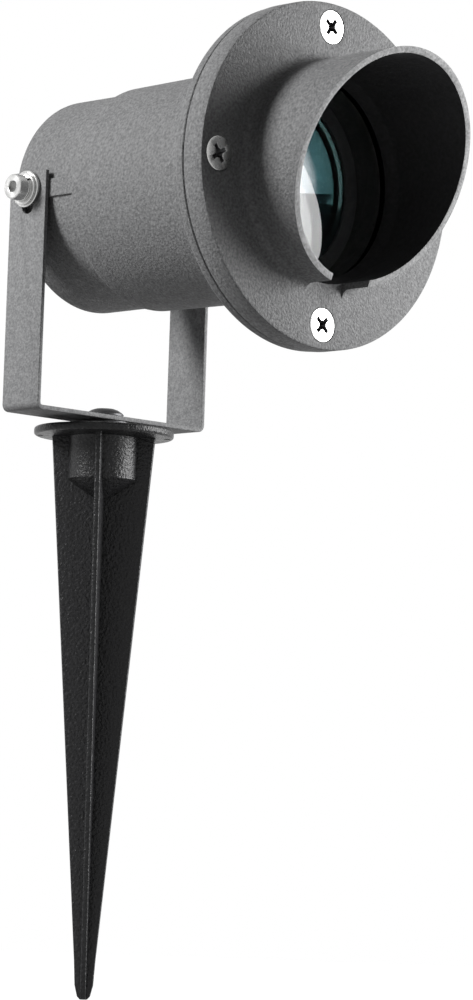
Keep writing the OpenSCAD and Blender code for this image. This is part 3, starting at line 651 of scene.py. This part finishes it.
def join(name, pieces):
    """Joins like pieces into one."""
    bpy.ops.object.select_all(action="DESELECT")
    for piece in pieces:
        piece.select_set(True)
    bpy.context.view_layer.objects.active = pieces[0]
    bpy.ops.object.join()
    pieces[0].name = pieces[0].data.name = name
    return pieces[0]


screws = join("bezel_screw_set", [bezel_screw(x, y, twist) for (x, y), twist in zip(circle_of_screws, cross_turns)])
smooth(screws)
into_head(screws)
screws.data.materials.append(stainless)
screws.data.materials.append(dark_zinc_and_recess_shade)
# painted shade: the walls of the recesses get the dark zinc finish, on small faces near a screw's own axis and below
# its face
for face in screws.data.polygons:
    across, up = abs(face.center.x), abs(face.center.z - tilt_z)
    from_axis = math.hypot(max(across, up) - screw_circle, min(across, up))
    below_face = bezel_front + face.center.y
    if from_axis < recess_shade_reach and 0.2 * mm < below_face < 3 * mm and len(face.vertices) < 40:
        face.material_index = 1
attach(screws, "head_body")
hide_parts("bezel_screws")

# ---------------------------------------------------------------- cover glass
# A toughened disc of clear glass with ground edges, held in the channel seal between the housing's seat
# and the bezel's lip.
glass_low, glass_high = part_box("cover_glass")
glass_rear, glass_front = -glass_high.y, -glass_low.y
glass_radius = glass_high.x
ground_edge = 0.5 * mm
pane = turned("cover_pane", [(glass_radius - ground_edge, glass_rear), (glass_radius, glass_rear + ground_edge),
                             (glass_radius, glass_front - ground_edge),
                             (glass_radius - ground_edge, glass_front)], 160)
smooth(pane, 30)
into_head(pane)


def pass_light(made, shader):
    """Lets the light through glass in a straight line, as a clear pane does, instead of casting a black shadow."""
    nodes, links = made.node_tree.nodes, made.node_tree.links
    rays = nodes.new("ShaderNodeLightPath")
    through = nodes.new("ShaderNodeBsdfTransparent")
    through.inputs["Color"].default_value = (0.94, 0.96, 0.95, 1)
    mix = nodes.new("ShaderNodeMixShader")
    links.new(rays.outputs["Is Shadow Ray"], mix.inputs["Fac"])
    links.new(shader.outputs["BSDF"], mix.inputs[1])
    links.new(through.outputs["BSDF"], mix.inputs[2])
    links.new(mix.outputs["Shader"], nodes["Material Output"].inputs["Surface"])


clear_glass, shader = finish("clear_glass", (0.97, 0.99, 0.985), 0.02)
pass_light(clear_glass, shader)
shader.inputs["Transmission Weight"].default_value = 1.0
shader.inputs["IOR"].default_value = 1.3
vary_gloss(clear_glass, shader, noise(clear_glass, 90, 2), 0.0, 0.05)
pane.data.materials.append(clear_glass)
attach(pane, "head_body")
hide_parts("cover_glass")

# ---------------------------------------------------------------- lamp
# A 50 mm reflector lamp with a twist-lock base: a pressed glass bowl with facets and a dichroic coating,
# a capsule inside it, a thin front glass, a ceramic base and two pins.
bowl_low, bowl_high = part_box("lamp_reflector")
rim_s = -bowl_low.y
neck_s = -bowl_high.y
rim_radius = bowl_high.x
bowl_rim = rim_radius - 1.1 * mm
bowl_neck = 10 * mm
bowl_wall = 1.5 * mm
rim_band = 2.5 * mm
rim_step = 1.2 * mm
dish_s = 51.5 * mm
facet_columns = 48
facet_rows = 6


def bowl_outline(thickness):
    """Bowl from neck to rim: a straight neck and a wide-beam dish with rows of facets."""
    steps = [row / facet_rows for row in range(facet_rows + 1)]
    return [(bowl_neck - thickness, neck_s)] + [
        (bowl_neck + (bowl_rim - bowl_neck) * step - thickness,
         dish_s + (rim_s - rim_band - dish_s) * step ** 1.15) for step in steps]


bowl = turned("lamp_bowl", (
    bowl_outline(0) + [(rim_radius, rim_s - rim_band), (rim_radius, rim_s), (rim_radius - 1 * mm, rim_s),
                       (rim_radius - 1 * mm, rim_s - rim_step), (bowl_rim - bowl_wall, rim_s - rim_step)]
    + bowl_outline(bowl_wall)[::-1] + [bowl_outline(0)[0]]), facet_columns)
for face in bowl.data.polygons:
    face.use_smooth = False
keep_own_shape(bowl)
into_head(bowl)
dichroic, shader = finish("dichroic_mirror", (0.9, 0.91, 0.93), 0.06, metallic=1.0)
nodes, links = dichroic.node_tree.nodes, dichroic.node_tree.links
own = nodes.new("ShaderNodeAttribute")
own.attribute_name = "own"
parts = nodes.new("ShaderNodeSeparateXYZ")
depth = nodes.new("ShaderNodeMapRange")
depth.inputs["From Min"].default_value = neck_s
depth.inputs["From Max"].default_value = rim_s
# the dichroic coating is real, but its dark teal towards the rim is painted reflection: it stands for the coloured,
# darker reflection the coating shows at a slant
painted_reflection_bands = nodes.new("ShaderNodeValToRGB")
painted_reflection_bands.color_ramp.elements[0].position = 0.78
painted_reflection_bands.color_ramp.elements[0].color = (0.6, 0.62, 0.65, 1)
painted_reflection_bands.color_ramp.elements[1].position = 0.84
painted_reflection_bands.color_ramp.elements[1].color = (0.05, 0.12, 0.135, 1)
teal_painted_reflection = painted_reflection_bands.color_ramp.elements.new(0.95)
teal_painted_reflection.color = (0.03, 0.07, 0.07, 1)
links.new(own.outputs["Vector"], parts.inputs["Vector"])
links.new(parts.outputs["Z"], depth.inputs["Value"])
links.new(depth.outputs["Result"], painted_reflection_bands.inputs["Fac"])
links.new(painted_reflection_bands.outputs["Color"], shader.inputs["Base Color"])
vary_gloss(dichroic, shader, noise(dichroic, 500, 2), 0.03, 0.08)
dent(dichroic, shader, noise(dichroic, 220, 2), 0.004 * mm)
bowl.data.materials.append(dichroic)
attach(bowl, "head_body")
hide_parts("lamp_reflector")

lamp_glass, shader = finish("lamp_glass", (0.97, 0.985, 0.99), 0.03)
pass_light(lamp_glass, shader)
shader.inputs["Transmission Weight"].default_value = 1.0
shader.inputs["IOR"].default_value = 1.25
vary_gloss(lamp_glass, shader, noise(lamp_glass, 120, 2), 0.0, 0.06)
dent(lamp_glass, shader, noise(lamp_glass, 150, 2), 0.004 * mm)
for node in ("lamp_front_glass", "lamp_capsule"):
    recoat(node, lamp_glass)

ceramic, shader = finish("ceramic", (0.74, 0.72, 0.67), 0.6)
mottle(ceramic, shader, (0.66, 0.64, 0.59), (0.78, 0.76, 0.71), noise(ceramic, 500, 4))
vary_gloss(ceramic, shader, noise(ceramic, 200, 2), 0.5, 0.75)
dent(ceramic, shader, noise(ceramic, 1600, 3), 0.03 * mm)
for node in ("lamp_base", "lampholder"):
    recoat(node, ceramic)
recoat("lamp_pins", plated)

holder_plastic, shader = finish("black_plastic", (0.02, 0.02, 0.021), 0.5)
mottle(holder_plastic, shader, (0.015, 0.015, 0.016), (0.028, 0.028, 0.029), noise(holder_plastic, 800, 3))
vary_gloss(holder_plastic, shader, noise(holder_plastic, 300, 2), 0.42, 0.58)
dent(holder_plastic, shader, noise(holder_plastic, 1400, 3), 0.03 * mm)
recoat("lamp_ring", holder_plastic)

# ---------------------------------------------------------------- lampholder and wiring
# Inside the cup: a ceramic holder on a plated yoke, brass contacts, a three-pole terminal block, the earth
# tag on its boss, and insulated cores between them and the gland.
brass, shader = finish("brass", (0.68, 0.5, 0.2), 0.3, metallic=1.0)
mottle(brass, shader, (0.55, 0.39, 0.15), (0.74, 0.56, 0.25), noise(brass, 400, 3))
vary_gloss(brass, shader, noise(brass, 900, 2), 0.24, 0.4)
dent(brass, shader, noise(brass, 900, 2), 0.015 * mm)
for node in ("holder_contacts", "terminal_screws", "earth_tag"):
    recoat(node, brass)
for node in ("holder_bracket", "holder_screws", "yoke_screws", "earth_screw"):
    recoat(node, plated)


def insulation(name, colour, roughness=0.45):
    """Extruded wire insulation, with a faint unevenness of colour and surface."""
    made, shader = finish(name, colour, roughness)
    mottle(made, shader, tuple(value * 0.82 for value in colour), colour, noise(made, 350, 3))
    vary_gloss(made, shader, noise(made, 600, 2), roughness - 0.07, roughness + 0.1)
    dent(made, shader, noise(made, 700, 2), 0.02 * mm)
    return made


for node, colour in (("lead_live", (0.16, 0.06, 0.025)), ("lead_neutral", (0.02, 0.1, 0.36)),
                     ("lead_earth", (0.07, 0.28, 0.04)), ("lamp_leads", (0.6, 0.58, 0.53)),
                     ("terminal_block", (0.78, 0.77, 0.71))):
    recoat(node, insulation(node + "_finish", colour))

# ---------------------------------------------------------------- cable gland
# A moulded black gland in the rear wall: a hexagon with a washer behind it, a rubber seal, and a domed
# cap with a ribbed grip that tightens on the cable. A locknut holds it inside the cup.
gland_low, gland_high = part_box("gland_body")
cap_low, cap_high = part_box("gland_cap")
flats_radius = 10 * mm
corner_radius = flats_radius / math.cos(math.radians(30))
cap_front, cap_rear = -cap_low.y, -cap_high.y
dome = 4 * mm
dome_radius = flats_radius - 0.3 * mm
crown_radius = corner_radius - 0.1 * mm
hex_edge = 0.35 * mm
grooves = 18
groove_circle = flats_radius * 0.985
groove_radius = 0.45 * mm
groove_length = 3.2 * mm
entry_radius = 4.4 * mm
cap_thread = 7.6 * mm
seal_space = 6.5 * mm
hex_front = -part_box("gland_washer")[1].y
hex_rear = hex_front - 5.5 * mm
gland_end = -gland_low.y
gland_neck = -gland_high.y


def hexagon(name, low, high):
    """Hexagon bar with rounded corners between two heights."""
    bar = rod(corner_radius, high - low, (0, 0, (low + high) / 2), (0, 0, math.radians(30)), 6)
    bar.name = bar.data.name = name
    return ease(bar, hex_edge, 3)


def crowned(piece, low, high, radius):
    """Turns down the corners of a hexagon at both ends, as on a nut."""
    tool = turned("crown_tool", [(radius * 0.9, low - 0.01 * mm), (radius, low + 0.9 * mm),
                                 (radius, high - 0.9 * mm), (radius * 0.9, high + 0.01 * mm)], 96)
    return cut(piece, tool, "INTERSECT")


cap = crowned(hexagon("gland_cap_moulding", cap_rear + dome * 0.75, cap_front), cap_rear + dome * 0.7, cap_front,
              crown_radius)
cut(cap, turned("cap_dome", arc(dome_radius - dome, cap_rear + dome, dome, -90, 0, 8)
                + [(dome_radius, cap_rear + dome + 1 * mm)], 96), "UNION")
for step in range(grooves):
    turn = math.radians(360 / grooves * (step + 0.5))
    cut(cap, rod(groove_radius, groove_length, (groove_circle * math.cos(turn), groove_circle * math.sin(turn),
                                                cap_rear + dome + 0.2 * mm), (0, 0, turn), 12))
cut(cap, turned("cap_bore", [(entry_radius + 0.5 * mm, cap_rear - 1 * mm), (entry_radius, cap_rear + 0.6 * mm),
                             (entry_radius, cap_rear + 2 * mm), (seal_space, cap_rear + 2.01 * mm),
                             (seal_space, gland_neck - 0.01 * mm), (cap_thread, gland_neck),
                             (cap_thread, cap_front + 1 * mm)], 72))
smooth(close_up(cap), 34)
into_head(cap)
cap.data.materials.append(holder_plastic)
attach(cap, "head_body")
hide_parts("gland_cap")

gland = crowned(hexagon("gland_moulding", hex_rear, hex_front), hex_rear, hex_front, crown_radius)
cut(gland, turned("gland_tube", [(7.5 * mm, gland_neck), (7.5 * mm, hex_rear + 1 * mm),
                                 (8 * mm, hex_front - 1 * mm), (8 * mm, gland_end)], 96), "UNION")
cut(gland, turned("gland_bore", [(6.3 * mm, gland_neck - 1 * mm), (6.3 * mm, hex_rear),
                                 (4.6 * mm, hex_rear + 0.01 * mm), (4.6 * mm, gland_end + 1 * mm)], 72))
smooth(close_up(gland), 34)
into_head(gland)
gland.data.materials.append(holder_plastic)
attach(gland, "head_body")
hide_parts("gland_body")
recoat("gland_locknut", holder_plastic)

# ---------------------------------------------------------------- tilt screws and washers
# On each side a stainless cap screw with a hexagon socket clamps the arm to the pad, through a split
# spring washer, a flat washer and a larger washer that covers the slot.
head_radius = 3.5 * mm
head_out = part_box("pivot_screws")[1].x
head_in = head_out - 2.9 * mm
shank_end = pad_x - 8 * mm
washer_hole = 2.15 * mm
socket_radius = 1.5 * mm / math.cos(math.radians(30))
socket_depth = 1.8 * mm
head_sides = 96


def both_sides(name, piece):
    """The piece, made along +Z as if that were outwards, at both tilt screws."""
    keep_own_shape(piece)
    twin = piece.copy()
    twin.data = piece.data.copy()
    bpy.context.collection.objects.link(twin)
    for one, side in ((piece, 1), (twin, -1)):
        one.matrix_world = Matrix.Translation((0, 0, tilt_z)) @ Matrix.Rotation(math.radians(90 * side), 4, "Y")
        settle(one)
    return smooth(join(name, [piece, twin]))


def dress(piece, made, slot, *nodes):
    """Finish, body and replaced CAD nodes of a piece of the head; slot is not used."""
    piece.data.materials.append(made)
    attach(piece, "head_body")
    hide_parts(*nodes)


cap_screw = turned("cap_screw", [
    (1.6 * mm, shank_end), (2 * mm, shank_end + 0.5 * mm), (2 * mm, head_in - 0.1 * mm), (2.1 * mm, head_in),
    (head_radius - 0.15 * mm, head_in), (head_radius, head_in + 0.15 * mm), (head_radius, head_in + 0.5 * mm),
    (head_radius, head_out - 0.5 * mm), (head_radius - 0.1 * mm, head_out - 0.2 * mm),
    (head_radius - 0.35 * mm, head_out), (socket_radius + 0.3 * mm, head_out)], head_sides)
# knurled side: every other upright edge of the head is pressed in
only(cap_screw)
bpy.ops.object.mode_set(mode="EDIT")
knurl_low, knurl_high = head_in + 0.4 * mm, head_out - 0.45 * mm
select_where(cap_screw, "vertices", lambda v: knurl_low < v.co.z < knurl_high
             and round(math.atan2(v.co.y, v.co.x) / math.tau * head_sides) % 2 == 0)
bpy.ops.transform.resize(value=(0.972, 0.972, 1), center_override=(0, 0, head_in))
bpy.ops.object.mode_set(mode="OBJECT")
cut(cap_screw, rod(socket_radius, 2 * socket_depth, (0, 0, head_out), sides=6))
cut(cap_screw, turned("socket_chamfer", [(socket_radius * 0.8, head_out - 0.25 * mm),
                                         (socket_radius + 0.25 * mm, head_out + 0.2 * mm)], 48))
close_up(cap_screw)
dress(both_sides("tilt_screws", cap_screw), stainless, "stainless", "pivot_screws")


def washer(name, outside, low, thickness, edge=0.14 * mm):
    """Flat stamped washer with rolled edges."""
    return turned(name, [(washer_hole, low + edge), (washer_hole + edge, low), (outside - edge, low),
                         (outside, low + edge), (outside, low + thickness - edge), (outside - edge, low + thickness),
                         (washer_hole + edge, low + thickness), (washer_hole, low + thickness - edge),
                         (washer_hole, low + edge)], 96)


flat_high, slot_high, spring_high = [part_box(node)[1] for node in ("flat_washers", "slot_washers", "spring_washers")]
slot_thick = 1 * mm
flat_thick = 0.8 * mm
slot_in = bracket_high.x + arm_gap
flat_in = slot_in + slot_thick
spring_in = flat_in + flat_thick
dress(both_sides("large_washers", washer("large_washer", slot_high.y, slot_in, slot_thick)),
      stainless, "stainless", "slot_washers")
dress(both_sides("small_washers", washer("small_washer", flat_high.y, flat_in, flat_thick)),
      stainless, "stainless", "flat_washers")
spring = washer("spring_washer", spring_high.y, spring_in, spring_high.x - spring_in, 0.08 * mm)
# the slanted gap of a split washer
gap_tool = block((spring_high.y, 0.55 * mm, 6 * mm), (spring_high.y * 0.6, 0, spring_in), (math.radians(25), 0, 0))
gap_tool.rotation_euler.z = math.radians(-50)
cut(spring, settle(gap_tool))
dress(both_sides("spring_washer_pair", close_up(spring)), stainless, "stainless", "spring_washers")

# ---------------------------------------------------------------- floor and light
# A plain pale floor at the spike's tip, a white surround, and two softboxes: a small one behind on the
# left, and a larger one low on the right. There is very little light from the front.
floor_grey = 0.25
near_floor, far_floor = 0.25, 1.2
surround_dim = 0.04


def seen_rays(nodes, links):
    """1 for rays from the camera, from glossy surfaces and through glass, 0 for the rest."""
    rays = nodes.new("ShaderNodeLightPath")
    camera_or_gloss = nodes.new("ShaderNodeMath")
    camera_or_gloss.operation = "MAXIMUM"
    any_of_them = nodes.new("ShaderNodeMath")
    any_of_them.operation = "MAXIMUM"
    links.new(rays.outputs["Is Camera Ray"], camera_or_gloss.inputs[0])
    links.new(rays.outputs["Is Glossy Ray"], camera_or_gloss.inputs[1])
    links.new(camera_or_gloss.outputs["Value"], any_of_them.inputs[0])
    links.new(rays.outputs["Is Transmission Ray"], any_of_them.inputs[1])
    return any_of_them.outputs["Value"]


bpy.ops.object.select_all(action="DESELECT")
bpy.ops.mesh.primitive_plane_add(size=8, location=(0, 0, spike_low.z))
floor = bpy.context.object
floor.name = "floor"
# rays from the eye, from gloss and through glass see the floor pale, and whiter away from the object
floor_paint, shader = finish("floor_paint", (floor_grey, floor_grey, floor_grey), 0.9, specular=0.1)
nodes, links = floor_paint.node_tree.nodes, floor_paint.node_tree.links
place = nodes.new("ShaderNodeTexCoord")
reach = nodes.new("ShaderNodeVectorMath")
reach.operation = "LENGTH"
fade = nodes.new("ShaderNodeMapRange")
fade.inputs["From Min"].default_value = near_floor
fade.inputs["From Max"].default_value = far_floor
fade.inputs["To Min"].default_value = 0.7
fade.inputs["To Max"].default_value = 1.0
glow = nodes.new("ShaderNodeEmission")
both = nodes.new("ShaderNodeAddShader")
mix = nodes.new("ShaderNodeMixShader")
links.new(place.outputs["Object"], reach.inputs[0])
links.new(reach.outputs["Value"], fade.inputs["Value"])
links.new(fade.outputs["Result"], glow.inputs["Strength"])
links.new(shader.outputs["BSDF"], both.inputs[0])
links.new(glow.outputs["Emission"], both.inputs[1])
links.new(shader.outputs["BSDF"], mix.inputs[1])
links.new(both.outputs["Shader"], mix.inputs[2])
links.new(seen_rays(nodes, links), mix.inputs["Fac"])
links.new(mix.outputs["Shader"], nodes["Material Output"].inputs["Surface"])
floor.data.materials.append(floor_paint)

world = bpy.data.worlds.new("surround")
bpy.context.scene.world = world
world.use_nodes = True
nodes, links = world.node_tree.nodes, world.node_tree.links
dim = nodes["Background"]
dim.inputs["Color"].default_value = (1, 1, 1, 1)
dim.inputs["Strength"].default_value = surround_dim
white = nodes.new("ShaderNodeBackground")
white.inputs["Color"].default_value = (1, 1, 1, 1)
white.inputs["Strength"].default_value = 1.0
mix = nodes.new("ShaderNodeMixShader")
links.new(seen_rays(nodes, links), mix.inputs["Fac"])
links.new(dim.outputs["Background"], mix.inputs[1])
links.new(white.outputs["Background"], mix.inputs[2])
links.new(mix.outputs["Shader"], nodes["World Output"].inputs["Surface"])

light_aim = Vector((0, -0.03, 0.04))


def softbox(name, azimuth, elevation, distance, width, height, watts):
    """A rectangular area light at an azimuth from +X and an elevation, aimed at the head."""
    turn, rise = math.radians(azimuth), math.radians(elevation)
    way = Vector((math.cos(turn) * math.cos(rise), math.sin(turn) * math.cos(rise), math.sin(rise)))
    bpy.ops.object.light_add(type="AREA", location=light_aim + distance * way)
    lamp = bpy.context.object
    lamp.name = name
    lamp.data.shape = "RECTANGLE"
    lamp.data.size = width
    lamp.data.size_y = height
    lamp.data.energy = watts
    lamp.rotation_euler = way.to_track_quat("Z", "Y").to_euler()


softbox("left_softbox", 153, 27, 1.0, 0.3, 0.4, 17)
softbox("right_softbox", 323, 10, 1.0, 0.7, 0.7, 24)
